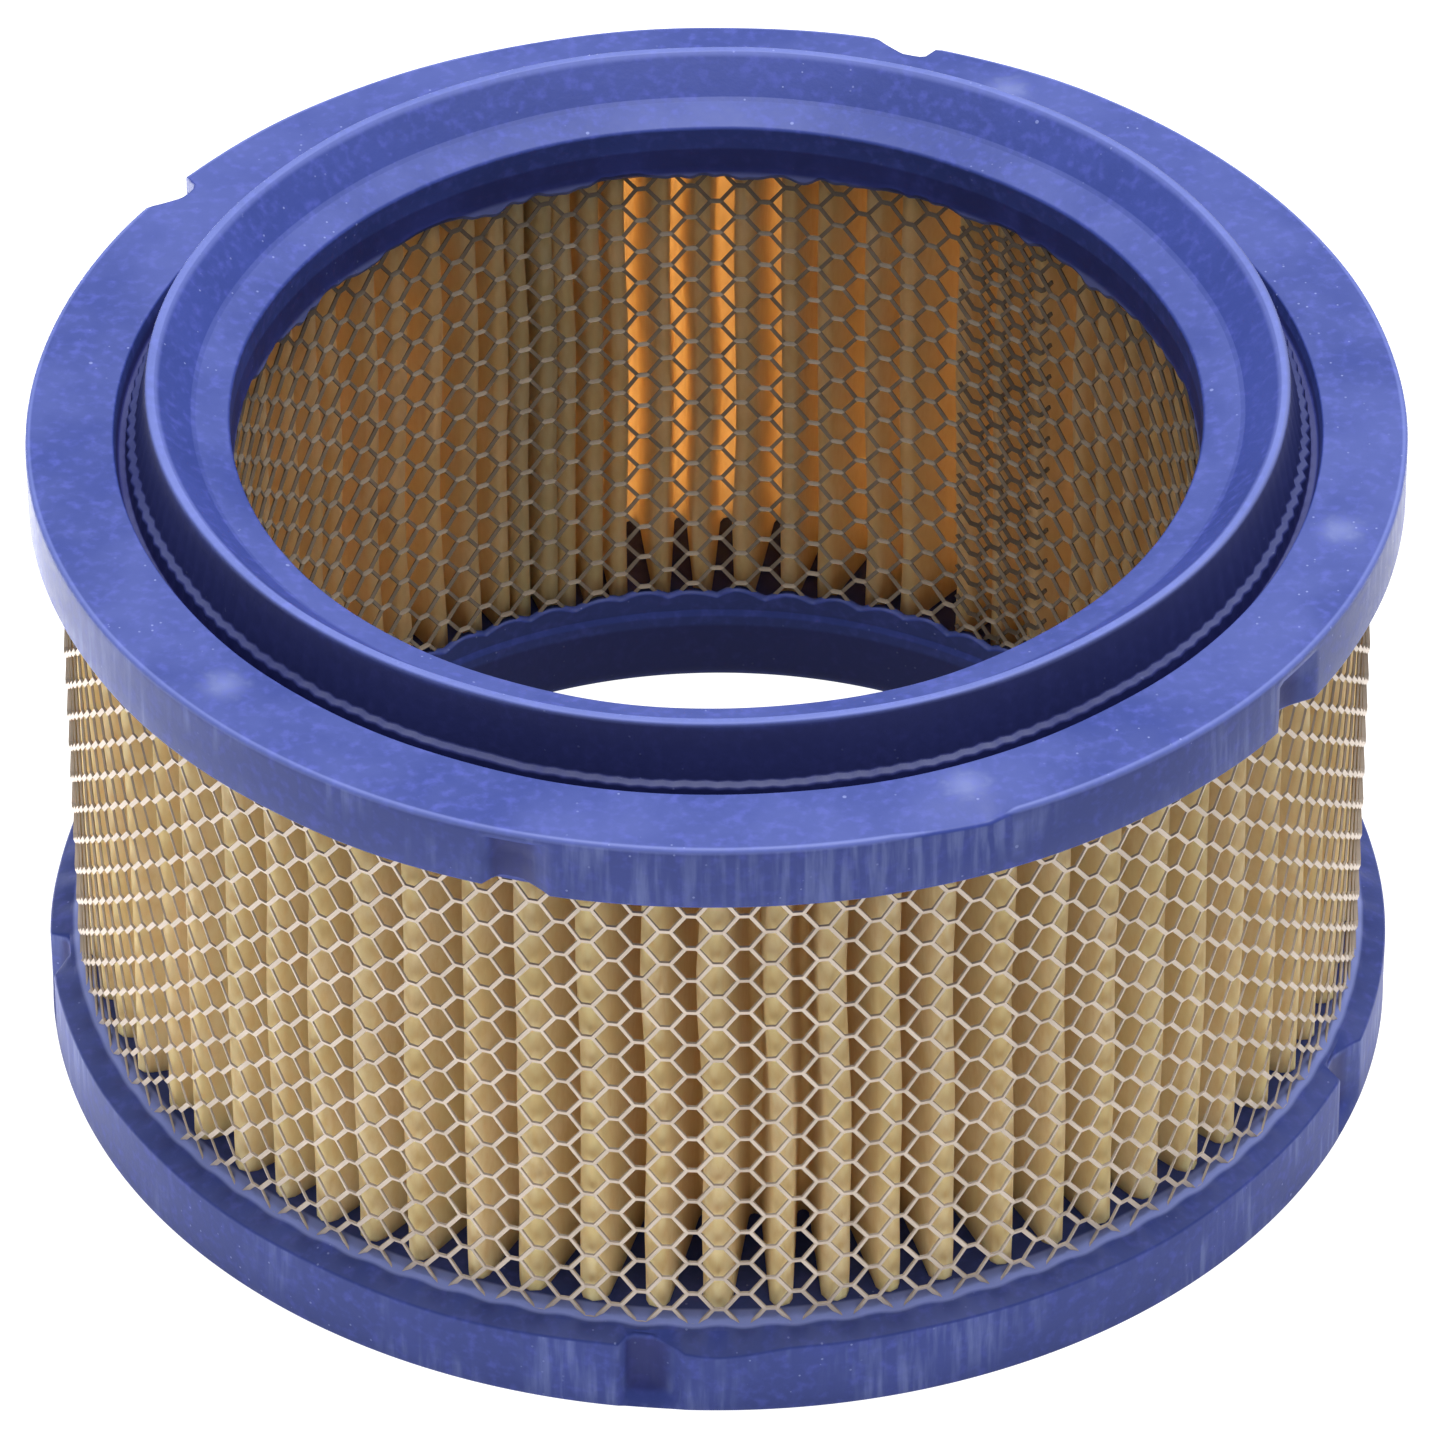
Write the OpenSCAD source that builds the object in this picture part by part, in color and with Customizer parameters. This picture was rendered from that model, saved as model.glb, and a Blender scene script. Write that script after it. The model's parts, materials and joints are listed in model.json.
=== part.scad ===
// Ring-shaped pleated air filter element for a small engine.
// Two cast end caps hold a folded paper ring between two expanded-metal sleeves.
// Origin: centre of the underside. +Z is up, towards the cap with the sealing lip.
// Angles round the ring are counted from the front (-Y) towards +X.

/* [Overall] */
// Outside diameter of both end caps
element_d = 149.2; // [142:0.1:190]
// Height from the underside to the top cap's flange
flange_h = 77; // [50:0.5:120]
// Diameter of the hole through the bottom cap
bottom_bore_d = 105; // [80:0.1:108]
// Diameter of the hole through the top cap
top_bore_d = 105; // [82:0.1:112]

/* [Bottom end cap] */
// Height of the bottom cap's outer band
bottom_band_h = 8.9; // [6:0.1:14]
// Rise of the casting from the band's top edge in to the outer sleeve
bottom_rise = 1.1; // [0.4:0.1:3]
// Height of the straight wall's upper edge in the bottom hole
bottom_bore_top = 9.9; // [6:0.1:16]
// Height to which the casting climbs the inner sleeve's inner face
bottom_climb_h = 12.8; // [10:0.1:18]
// Height of the casting between the two sleeves
bottom_fill_h = 11; // [9:0.1:16]
// Rounding where the bottom hole meets the underside
bottom_bore_round = 2.4; // [0.5:0.1:4]
// Rounding of the bottom cap's outer lower edge
bottom_edge_round = 0.5; // [0.2:0.1:2.5]

/* [Top end cap] */
// Height of the top cap's outer band
top_band_h = 7.6; // [5:0.1:12]
// Drop of the casting from the band's lower edge in to the outer sleeve
top_drop = 0.9; // [0.3:0.1:2]
// Depth of the top hole's lower edge below the flange
top_bore_drop = 4.5; // [3.5:0.1:7]
// Depth of the casting between the two sleeves below the flange
top_fill_drop = 5.8; // [4.5:0.1:8]
// Rounding of both upper outer band edges
band_edge_round = 0.8; // [0.2:0.1:1.5]

/* [Sealing lip] */
// Height of the lip above the flange
lip_h = 6.3; // [3:0.1:10]
// Width of the flat crest of the lip
lip_crest_w = 1.2; // [0.6:0.1:3]
// Distance from the top hole's wall out to the lip's crest
lip_inset = 7.7; // [5:0.1:9]
// Height of the ledge round the top hole above the flange
ledge_h = 1.4; // [0.5:0.1:3]
// Height of the ledge where it meets the lip's inner slope
ledge_outer_h = 2.4; // [1:0.1:4]
// Width of the ledge round the top hole
ledge_w = 4; // [2:0.1:4.8]
// Width of the groove between the lip and the flange
groove_w = 2.7; // [1.5:0.1:4]
// Depth of the groove below the flange
groove_depth = 2; // [1:0.1:2.6]

/* [Rim notches] */
// Width of a notch at the rim
notch_w = 6.2; // [4:0.1:9]
// Depth of a notch into the rim
notch_depth = 1.8; // [0.6:0.1:2.2]
// Casting left between a notch and the flat outer face of its cap
notch_skin = 1; // [0.5:0.1:2]
// Angle of the first of the top cap's four notches
top_notch_a = -17; // [-180:1:180]
// Angle from the first top notch to the second, and from the third to the fourth
top_notch_span = 72; // [30:1:90]
// Angle of the first of the bottom cap's three notches
bottom_notch_a = -84; // [-180:1:180]
// Angle between the bottom cap's notches
bottom_notch_step = 77; // [30:1:120]

/* [Sleeves] */
// Thickness of the expanded metal
sleeve_t = 0.5; // [0.3:0.1:1]
// Casting between the top hole's wall and the inner sleeve
inner_skin = 0.6; // [0.5:0.1:1.5]
// Casting between the rim and the outer sleeve
outer_cover = 2.65; // [2.4:0.05:5]
// Angle covered by the lap where a sleeve's ends meet
lap_span = 7; // [3:1:15]
// Angle of the inner sleeve's lap
inner_lap_a = 144; // [-180:1:180]
// Angle of the outer sleeve's lap
outer_lap_a = 172; // [-180:1:180]

/* [Paper] */
// Number of pleats
pleats = 70; // [50:1:88]
// Thickness of the embossed paper
paper_t = 0.6; // [0.3:0.1:0.8]
// Radius of a fold, at the middle of the paper
fold_r = 0.9; // [0.6:0.1:1.2]
// Angle of the joint between the two ends of the paper
joint_a = -161; // [-180:1:180]
// Depth of the adhesive bead in the joint
bead_depth = 6; // [3:0.5:10]
// Height of the paper's lower end above the underside
paper_bottom_h = 3; // [1.5:0.5:6]
// Casting between the groove's floor and the paper's upper end
paper_cover = 0.8; // [0.5:0.1:2]

/* [Fits] */
// Gap between a sleeve and the folds beside it
fold_gap = 0.25; // [0.1:0.05:0.6]

/* [Hidden] */
$fn = 120;
edge_steps = 4;
fold_steps = 3;
past = 1;                 // how far a cutter runs past the face it cuts
blue = [0.33, 0.39, 0.74];
tin = [0.78, 0.77, 0.72];
kraft = [0.74, 0.64, 0.40];
glue = [0.86, 0.80, 0.62];

rim_r = element_d / 2;
bottom_bore_r = bottom_bore_d / 2;
top_bore_r = top_bore_d / 2;

// Sleeves: inner faces, and the ends that both sleeves share with the paper
inner_sleeve_r = max(top_bore_r, bottom_bore_r) + inner_skin;
outer_sleeve_r = rim_r - outer_cover - 2 * sleeve_t;
paper_top_h = flange_h - groove_depth - paper_cover;
paper_h = paper_top_h - paper_bottom_h;

// Folds: centres of the outer and inner fold arcs, clear of the sleeves and their laps
outer_fold_r = outer_sleeve_r - fold_gap - paper_t / 2 - fold_r;
inner_fold_r = inner_sleeve_r + 2 * sleeve_t + fold_gap + paper_t / 2 + fold_r;
pitch = 360 / pleats;

// Direction of the tangent point on an outer fold, seen from that fold's centre.
// The panel from there to the next inner fold is tangent to both fold arcs.
half_pitch = pitch / 2;
fold_step = polar(inner_fold_r, half_pitch) - [outer_fold_r, 0];
towards = fold_step / norm(fold_step);
across = [towards.y, -towards.x];
lean = 2 * fold_r / norm(fold_step);
panel_normal = lean * towards + sqrt(1 - lean * lean) * across;
outer_turn = atan2(panel_normal.y, panel_normal.x);
inner_turn = outer_turn - half_pitch;

// Outer and inner corner of the adhesive bead, on the first panel
bead_out = [outer_fold_r, 0] + polar(fold_r - paper_t / 2, outer_turn);
bead_in = bead_out + bead_depth * [-panel_normal.y, panel_normal.x];

// Sealing lip
crest_in_r = top_bore_r + lip_inset;
crest_out_r = crest_in_r + lip_crest_w;
groove_in_r = crest_out_r + 1;
groove_out_r = groove_in_r + groove_w;
lip_round = 0.35;

function polar(r, a) = [r * cos(a), r * sin(a)];
function arc(centre, r, from, to, steps) =
    [for (i = [0:steps]) centre + polar(r, from + (to - from) * i / steps)];
function mirrored(point) = [point.x, -point.y];
function reversed(list) = [for (i = [len(list) - 1:-1:0]) list[i]];

// One face of the paper, from one end of the strip to the other.
// side is +1 for the face outside a fold's outer tip and -1 for the other face.
function paper_face(side) = [
    for (k = [0:pleats])
        let (tip_a = k * pitch,
             tip = polar(outer_fold_r, tip_a),
             dip_a = tip_a + half_pitch,
             dip = polar(inner_fold_r, dip_a),
             tip_r = fold_r + side * paper_t / 2,
             dip_r = fold_r - side * paper_t / 2,
             first = tip_a + (k == 0 ? outer_turn : -outer_turn),
             last = tip_a + (k == pleats ? -outer_turn : outer_turn))
        each concat(
            first == last ? [tip + polar(tip_r, first)] : arc(tip, tip_r, first, last, fold_steps),
            k == pleats ? [] : arc(dip, dip_r, dip_a + 180 + inner_turn, dip_a + 180 - inner_turn, fold_steps))
];

// Turns what is drawn at the front round to an angle
module at(angle) {
    rotate([0, 0, angle]) children();
}

module paper_outline() {
    rotate(joint_a - 90)
        polygon(concat(paper_face(1), reversed(paper_face(-1))));
}

// The adhesive fills the last fold, between the two end panels of the strip
module bead_outline() {
    rotate(joint_a - 90)
        polygon([bead_out, bead_in, mirrored(bead_in), mirrored(bead_out)]);
}

// The paper and its bead together, as one ring
module paper_and_bead_outline() {
    far_face = paper_face(1);
    near_face = paper_face(-1);
    near_middle = [for (i = [1:len(near_face) - 2]) near_face[i]];
    rotate(joint_a - 90)
        difference() {
            polygon(concat(far_face, [mirrored(bead_out), bead_out]));
            polygon(concat(near_middle, [mirrored(bead_in), bead_in]));
        }
}

// A sleeve's section: a ring, doubled on its outside where the strip's ends lap
module sleeve_outline(inner_r, lap_a) {
    difference() {
        circle(r = inner_r + sleeve_t);
        circle(r = inner_r);
    }
    lap_reach = inner_r + 3 * sleeve_t;
    intersection() {
        difference() {
            circle(r = inner_r + 2 * sleeve_t);
            circle(r = inner_r + sleeve_t / 2);
        }
        rotate(lap_a - 90)
            polygon([[0, 0], polar(lap_reach, -lap_span / 2), polar(lap_reach, lap_span / 2)]);
    }
}

module inner_sleeve_outline() {
    sleeve_outline(inner_sleeve_r, inner_lap_a);
}

module outer_sleeve_outline() {
    sleeve_outline(outer_sleeve_r, outer_lap_a);
}

// Raises an outline over the height that the sleeves and the paper share
module between_ends() {
    translate([0, 0, paper_bottom_h])
        linear_extrude(paper_h) children();
}

// The room that the sleeves, the paper and its bead leave in a cast cap
module core_imprint() {
    between_ends() inner_sleeve_outline();
    between_ends() outer_sleeve_outline();
    between_ends() paper_and_bead_outline();
}

// A scoop out of the rim between two heights, drawn at the front
module notch(low, high) {
    scoop_r = (notch_w * notch_w / 4 + notch_depth * notch_depth) / (2 * notch_depth);
    translate([0, -(rim_r - notch_depth + scoop_r), low])
        cylinder(r = scoop_r, h = high - low);
}

module bottom_end_cap() {
    bore_corner = [bottom_bore_r + bottom_bore_round, bottom_bore_round];
    rim_corner = [rim_r - bottom_edge_round, bottom_edge_round];
    band_corner = [rim_r - band_edge_round, bottom_band_h - band_edge_round];
    section = concat(
        [[bottom_bore_r, bottom_bore_top]],
        arc(bore_corner, bottom_bore_round, 180, 270, edge_steps),
        arc(rim_corner, bottom_edge_round, -90, 0, edge_steps),
        arc(band_corner, band_edge_round, 0, 90, edge_steps),
        [[outer_sleeve_r + 2 * sleeve_t, bottom_band_h + bottom_rise],
         [outer_sleeve_r, bottom_fill_h],
         [inner_sleeve_r + 2 * sleeve_t, bottom_fill_h],
         [inner_sleeve_r, bottom_climb_h]]);
    color(blue)
        difference() {
            rotate_extrude() polygon(section);
            core_imprint();
            for (i = [0:2]) at(bottom_notch_a + i * bottom_notch_step)
                notch(notch_skin, bottom_band_h + past);
        }
}

module top_end_cap() {
    band_corner = [rim_r - band_edge_round, flange_h - band_edge_round];
    band_low = flange_h - top_band_h;
    crest_h = flange_h + lip_h;
    crest_out = [crest_out_r - lip_round, crest_h - lip_round];
    crest_in = [crest_in_r + lip_round, crest_h - lip_round];
    section = concat(
        [[rim_r, band_low]],
        arc(band_corner, band_edge_round, 0, 90, edge_steps),
        [[groove_out_r, flange_h],
         [groove_out_r - 0.4, flange_h - groove_depth],
         [groove_in_r, flange_h - groove_depth]],
        arc(crest_out, lip_round, 0, 90, edge_steps),
        arc(crest_in, lip_round, 90, 145, edge_steps),
        [[top_bore_r + ledge_w, flange_h + ledge_outer_h],
         [top_bore_r, flange_h + ledge_h],
         [top_bore_r, flange_h - top_bore_drop],
         [inner_sleeve_r, flange_h - top_bore_drop],
         [inner_sleeve_r + 2 * sleeve_t, flange_h - top_fill_drop],
         [outer_sleeve_r, flange_h - top_fill_drop],
         [outer_sleeve_r + 2 * sleeve_t, band_low - top_drop]]);
    color(blue)
        difference() {
            rotate_extrude() polygon(section);
            core_imprint();
            // the two front notches stop under the flange, and the two back ones pass through it
            for (i = [0, 1]) {
                at(top_notch_a + i * top_notch_span)
                    notch(band_low - past, flange_h - notch_skin);
                at(top_notch_a + i * top_notch_span + 180)
                    notch(band_low - past, flange_h + past);
            }
        }
}

module inner_screen() {
    color(tin) between_ends() inner_sleeve_outline();
}

module outer_screen() {
    color(tin) between_ends() outer_sleeve_outline();
}

module pleated_media() {
    color(kraft) between_ends() paper_outline();
}

module media_joint_bead() {
    color(glue) between_ends() bead_outline();
}

bottom_end_cap();
top_end_cap();
inner_screen();
outer_screen();
pleated_media();
media_joint_bead();
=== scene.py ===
# %% [markdown]
# # A ring-shaped air filter element
#
# The part is a throw-away air filter for a small engine. Two end caps of soft blue vinyl are cast
# round the ends of a ring of folded paper, and two sleeves of expanded metal guard the paper inside
# and out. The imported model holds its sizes. This script loads it as a fixed frame, and builds each
# piece again at the same size with the detail that the eye expects. Lengths are in metres, and
# a value in millimetres is written as `7.6 * MM`.

# %% Load the frame
import json
import math
import random

import bmesh
import bpy
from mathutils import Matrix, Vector, noise


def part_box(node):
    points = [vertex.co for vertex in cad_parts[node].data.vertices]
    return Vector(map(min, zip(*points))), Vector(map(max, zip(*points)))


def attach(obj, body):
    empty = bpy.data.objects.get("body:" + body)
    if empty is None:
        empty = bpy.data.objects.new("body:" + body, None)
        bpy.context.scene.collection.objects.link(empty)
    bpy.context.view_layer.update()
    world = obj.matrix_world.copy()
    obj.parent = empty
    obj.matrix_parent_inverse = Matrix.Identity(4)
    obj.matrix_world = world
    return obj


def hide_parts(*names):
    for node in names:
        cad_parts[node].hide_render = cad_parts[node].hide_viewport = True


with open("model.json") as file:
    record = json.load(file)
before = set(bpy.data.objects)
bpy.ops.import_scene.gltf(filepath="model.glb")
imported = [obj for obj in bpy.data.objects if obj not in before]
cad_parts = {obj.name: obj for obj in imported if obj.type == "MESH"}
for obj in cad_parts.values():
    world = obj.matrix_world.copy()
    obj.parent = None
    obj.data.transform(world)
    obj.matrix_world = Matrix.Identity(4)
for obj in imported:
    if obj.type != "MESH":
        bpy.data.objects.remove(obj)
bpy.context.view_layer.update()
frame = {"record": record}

# %% [markdown]
# ## Sizes that every piece shares
#
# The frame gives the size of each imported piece, so the pieces made here can be no larger or smaller.
# The hole sizes come from the record's mounts, because that is what an engine maker would measure.
# Angles go round the ring from the front, which faces -Y, towards +X.

# %% Shared sizes
MM = 0.001
FULL_TURN = 2 * math.pi

rim_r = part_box("top_end_cap")[1].x
crest_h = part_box("top_end_cap")[1].z
sleeve_low, sleeve_high = (corner.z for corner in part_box("outer_screen"))
mounts = {mount["name"]: mount for mount in frame["record"]["mounts"]}
lower_bore_r = mounts["lower_bore"]["dims"]["r_mm"] * MM
upper_bore_r = mounts["upper_bore"]["dims"]["r_mm"] * MM
flange_h = crest_h - 6.3 * MM
bottom_band_h = 8.9 * MM
top_band_low = flange_h - 7.6 * MM
crest_in_r = upper_bore_r + 7.7 * MM
crest_out_r = crest_in_r + 1.2 * MM
groove_floor = flange_h - 2.4 * MM
groove_in_r = crest_out_r + 1 * MM
groove_out_r = groove_in_r + 2.7 * MM
half_wall = 0.25 * MM
inner_mesh_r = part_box("inner_screen")[1].x - half_wall
outer_mesh_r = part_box("outer_screen")[1].x - half_wall
print(f"Rim radius {rim_r / MM:.2f} mm, flange height {flange_h / MM:.2f} mm")


def polar(radius, angle, height=0.0):
    """A point at an angle counted from the front, which faces -Y, towards +X."""
    return Vector((radius * math.sin(angle), -radius * math.cos(angle), height))


def angle_of(point):
    return math.atan2(point.x, -point.y)


def turned_from(angle, degrees):
    """The angle from a direction in degrees to another angle, between -pi and pi."""
    return (angle - math.radians(degrees) + math.pi) % FULL_TURN - math.pi


def bump_at(distance, reach):
    """1 at no distance, falling smoothly to 0 at the reach."""
    share = min(abs(distance) / reach, 1)
    return 1 - share * share * (3 - 2 * share)


# %% [markdown]
# ## From a bmesh to a finished piece
#
# Every piece ends the same way. Points that lie on each other are merged, the faces are turned
# outwards, and the mesh goes into an object that stays at the origin. Then the piece is tied to the
# frame: it rides on the one body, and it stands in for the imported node.

# %% Finish a piece
merge_distance = 0.002 * MM


def finish_piece(name, mesh_in_work, material, node):
    bmesh.ops.remove_doubles(mesh_in_work, verts=mesh_in_work.verts, dist=merge_distance)
    bmesh.ops.recalc_face_normals(mesh_in_work, faces=mesh_in_work.faces)
    mesh = bpy.data.meshes.new(name)
    mesh_in_work.to_mesh(mesh)
    mesh_in_work.free()
    mesh.shade_smooth()
    mesh.materials.append(material)
    piece = bpy.data.objects.new(name, mesh)
    bpy.context.scene.collection.objects.link(piece)
    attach(piece, "root")
    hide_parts(node)
    print(f"{name}: {len(mesh.polygons)} faces")
    return piece


# %% [markdown]
# ## Nodes for the finishes
#
# Colours are chosen as the eye sees them, in sRGB hex, and turned to the linear values that the
# renderer needs. One helper adds a node, sets it and links what feeds it. A finish is then built up
# like paint: a ground colour, with thin layers over it. Each layer lies only where a few quantities,
# such as the height, the radius or a noise, have passed a soft step. So a layer is easy to weaken or
# to leave out, which a knot of nodes is not.

# %% Colour and node helpers
def linear(hex_colour):
    parts = [int(hex_colour[i:i + 2], 16) / 255 for i in (1, 3, 5)]
    return tuple(c / 12.92 if c <= 0.04045 else ((c + 0.055) / 1.055) ** 2.4 for c in parts) + (1,)


def add_node(tree, kind, inputs=None, **settings):
    """Adds a node. An input's value is a number, a colour or another node's output."""
    node = tree.nodes.new(kind)
    for key, value in settings.items():
        setattr(node, key, value)
    for key, value in (inputs or {}).items():
        if isinstance(value, bpy.types.NodeSocket):
            tree.links.new(value, node.inputs[key])
        else:
            node.inputs[key].default_value = value
    return node


def new_material(name):
    """A material, its tree, its Principled node and the Object coordinates that patterns use."""
    material = bpy.data.materials.new(name)
    material.use_nodes = True
    tree = material.node_tree
    shader = tree.nodes["Principled BSDF"]
    place = add_node(tree, "ShaderNodeTexCoord").outputs["Object"]
    return material, tree, shader, place


def pattern_scale(size):
    """Noise and Voronoi scale that makes features of about this size, in metres."""
    return 1 / size


def where(tree, steps):
    """1 where every step is passed, else 0. A step is (quantity, its value for 0, its value for 1)."""
    mask = None
    for quantity, low, high in steps:
        passed = add_node(tree, "ShaderNodeMapRange",
                          {"Value": quantity, "From Min": low, "From Max": high},
                          interpolation_type="SMOOTHSTEP").outputs["Result"]
        mask = passed if mask is None else add_node(
            tree, "ShaderNodeMath", {0: mask, 1: passed}, operation="MULTIPLY").outputs[0]
    return mask


def paint_over(tree, below, colour, strength, steps):
    """A layer of colour over another colour, of this strength where every step is passed."""
    share = add_node(tree, "ShaderNodeMath", {0: where(tree, steps), 1: strength},
                     operation="MULTIPLY").outputs[0]
    return add_node(tree, "ShaderNodeMix", {0: share, 6: below, 7: linear(colour)},
                    data_type="RGBA").outputs[2]


# %% [markdown]
# ## Cast vinyl
#
# The caps are plastisol: liquid vinyl that is poured into a ring mould and baked round the paper.
# It sets as a soft, slightly waxy blue skin. Three things tell the eye that it is cast and not
# machined: pale pinhead bubbles, a faint cloudiness where the pigment settled, and grey chalky
# scuffs on the bands where the element was pulled from the mould. The skin is paler where it ran
# out thin over the sleeves. Painted highlights lighten the flange's edge and the lip's crest, and a
# painted sheen, partly dust, lies on what faces up. Painted shade darkens the lip's outer wall, the
# groove, the notches and the walls further in at the height of the bands.

# %% Cast vinyl
bloom_spots = ((22, 68.5 * MM), (73, 69.5 * MM), (-48, 69.5 * MM), (152, 70 * MM))
thin_blue = "#8C98D4"
# painted highlight for the flange's edge and the lip's crest
edge_highlight_blue = "#7884C4"
# painted shade for the notches and the walls further in
recess_shade_blue = "#1B1C4F"


def speckle(tree, place, spacing, size, share, also=()):
    """1 in round specks about this size, in this share of the cells of a loose grid, else 0."""
    cells = add_node(tree, "ShaderNodeTexVoronoi", {"Vector": place, "Scale": pattern_scale(spacing)})
    reach = size / spacing / 2
    number = add_node(tree, "ShaderNodeSeparateColor", {"Color": cells.outputs["Color"]}).outputs[0]
    return where(tree, [(cells.outputs["Distance"], reach * 1.2, reach * 0.7),
                        (number, 1 - share - 0.03, 1 - share + 0.03), *also])


def cast_vinyl():
    material, tree, shader, place = new_material("plastisol_cast_blue")
    height = add_node(tree, "ShaderNodeSeparateXYZ", {"Vector": place}).outputs["Z"]
    level = add_node(tree, "ShaderNodeVectorMath", {0: place, 1: (1, 1, 0)},
                     operation="MULTIPLY").outputs[0]
    radius = add_node(tree, "ShaderNodeVectorMath", {0: level}, operation="LENGTH").outputs[1]
    facing = add_node(tree, "ShaderNodeNewGeometry").outputs["Normal"]
    upward = add_node(tree, "ShaderNodeSeparateXYZ", {"Vector": facing}).outputs["Z"]
    levelness = add_node(tree, "ShaderNodeMath", {0: upward}, operation="ABSOLUTE").outputs[0]

    # the pigment's slow clouds, and a mottle about 1 mm across
    cloud = add_node(tree, "ShaderNodeTexNoise", {"Vector": place, "Scale": pattern_scale(14 * MM),
                                                  "Detail": 4}).outputs["Fac"]
    mottle = add_node(tree, "ShaderNodeTexNoise", {"Vector": place, "Scale": pattern_scale(1.3 * MM),
                                                   "Detail": 3}).outputs["Fac"]
    coat = paint_over(tree, linear("#283572"), "#2C397A", 1, [(cloud, 0.35, 0.65)])
    coat = paint_over(tree, coat, "#38428A", 1, [(mottle, 0.45, 0.8)])

    # pinhead bubbles, and dust specks that gather in some places
    crowd = add_node(tree, "ShaderNodeTexNoise", {"Vector": place,
                                                  "Scale": pattern_scale(20 * MM)}).outputs["Fac"]
    bubble = speckle(tree, place, 4.5 * MM, 0.45 * MM, 0.2)
    dust = speckle(tree, place, 1.1 * MM, 0.28 * MM, 0.3, also=[(crowd, 0.45, 0.6)])
    specks = add_node(tree, "ShaderNodeMath", {0: bubble, 1: dust}, operation="MAXIMUM").outputs[0]
    speck_share = add_node(tree, "ShaderNodeMath", {0: specks, 1: 0.35},
                           operation="MULTIPLY").outputs[0]
    coat = add_node(tree, "ShaderNodeMix", {0: speck_share, 6: coat, 7: linear("#8E99CC")},
                    data_type="RGBA").outputs[2]

    # a chalky bloom where the mould's pins touched, each patch a few millimetres across
    for angle, spot_r in bloom_spots:
        spot = tuple(polar(spot_r, math.radians(angle), flange_h))
        away = add_node(tree, "ShaderNodeVectorMath", {0: place, 1: spot},
                        operation="DISTANCE").outputs[1]
        ragged = add_node(tree, "ShaderNodeMath", {0: mottle, 1: 3 * MM, 2: away},
                          operation="MULTIPLY_ADD").outputs[0]
        coat = paint_over(tree, coat, "#7F89B4", 0.3, [(ragged, 5 * MM, 1.5 * MM)])

    # scuffs run up and down the bands, about 1 mm wide and several times as long
    stretched = add_node(tree, "ShaderNodeMapping", {"Vector": place, "Scale": (1, 1, 0.1)}).outputs[0]
    streak = add_node(tree, "ShaderNodeTexNoise", {"Vector": stretched, "Detail": 4,
                                                   "Scale": pattern_scale(1.2 * MM)}).outputs["Fac"]
    coat = paint_over(tree, coat, "#6470A0", 0.5, [
        (streak, 0.42, 0.7), (cloud, 0.4, 0.6), (levelness, 0.5, 0.1),
        (radius, rim_r - 3 * MM, rim_r - 1.5 * MM)])

    # where the vinyl ran out thin over the inner sleeve and the outer one it is paler
    coat = paint_over(tree, coat, thin_blue, 0.6, [
        (radius, inner_mesh_r + 0.8 * MM, inner_mesh_r + 0.2 * MM),
        (height, flange_h - 4.3 * MM, flange_h - 5 * MM), (height, 20 * MM, 30 * MM)])
    coat = paint_over(tree, coat, thin_blue, 0.6, [
        (radius, outer_mesh_r + 1 * MM, outer_mesh_r + 0.5 * MM),
        (radius, outer_mesh_r - 1 * MM, outer_mesh_r - 0.5 * MM), (height, 20 * MM, 15 * MM)])

    # painted shade on the lip's outer wall and in the groove at its foot, which get little light
    coat = paint_over(tree, coat, "#15163F", 0.75, [
        (radius, crest_out_r - 0.1 * MM, crest_out_r + 0.2 * MM),
        (radius, groove_out_r, groove_out_r - 0.4 * MM),
        (height, flange_h - 3.5 * MM, flange_h - 3 * MM)])

    # painted shade in the notches, and further in on all walls at the height of the two bands
    set_back = (radius, rim_r - 0.8 * MM, rim_r - 1.7 * MM)
    coat = paint_over(tree, coat, recess_shade_blue, 0.6, [
        (height, top_band_low, top_band_low + 0.3 * MM),
        (height, flange_h - 1.2 * MM, flange_h - 1.6 * MM), set_back])
    coat = paint_over(tree, coat, recess_shade_blue, 0.6, [
        (height, 1 * MM, 1.8 * MM),
        (height, bottom_band_h - 0.3 * MM, bottom_band_h - 0.9 * MM), set_back])

    # painted highlights lighten the flange's edge and the lip's crest, and a pale layer on what faces
    # up is partly dust and partly painted sheen
    coat = paint_over(tree, coat, edge_highlight_blue, 0.3, [
        (radius, rim_r - 0.7 * MM, rim_r - 0.4 * MM),
        (height, flange_h - 0.7 * MM, flange_h - 0.3 * MM)])
    coat = paint_over(tree, coat, edge_highlight_blue, 0.3, [(height, crest_h - 0.6 * MM, crest_h - 0.1 * MM)])
    # partly dust and partly painted sheen: a pale layer on what faces up
    coat = paint_over(tree, coat, "#B0BAD8", 0.06, [(upward, 0.7, 0.95), (cloud, 0.1, 0.8)])
    tree.links.new(coat, shader.inputs["Base Color"])

    # the skin is waxy: half dull, with a grain that is only felt
    rough = add_node(tree, "ShaderNodeMapRange", {"Value": mottle, "To Min": 0.5, "To Max": 0.66})
    tree.links.new(rough.outputs["Result"], shader.inputs["Roughness"])
    grain = add_node(tree, "ShaderNodeTexNoise", {"Vector": place, "Scale": pattern_scale(0.9 * MM),
                                                  "Detail": 5, "Roughness": 0.6}).outputs["Fac"]
    relief = add_node(tree, "ShaderNodeMath", {0: grain, 1: specks}, operation="ADD").outputs[0]
    bump = add_node(tree, "ShaderNodeBump", {"Strength": 0.3, "Distance": 0.12 * MM, "Height": relief})
    tree.links.new(bump.outputs["Normal"], shader.inputs["Normal"])
    shader.inputs["IOR"].default_value = 1.53
    shader.inputs["Specular IOR Level"].default_value = 0.18
    return material


vinyl = cast_vinyl()
print(vinyl.name, "has", len(vinyl.node_tree.nodes), "nodes")
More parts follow.
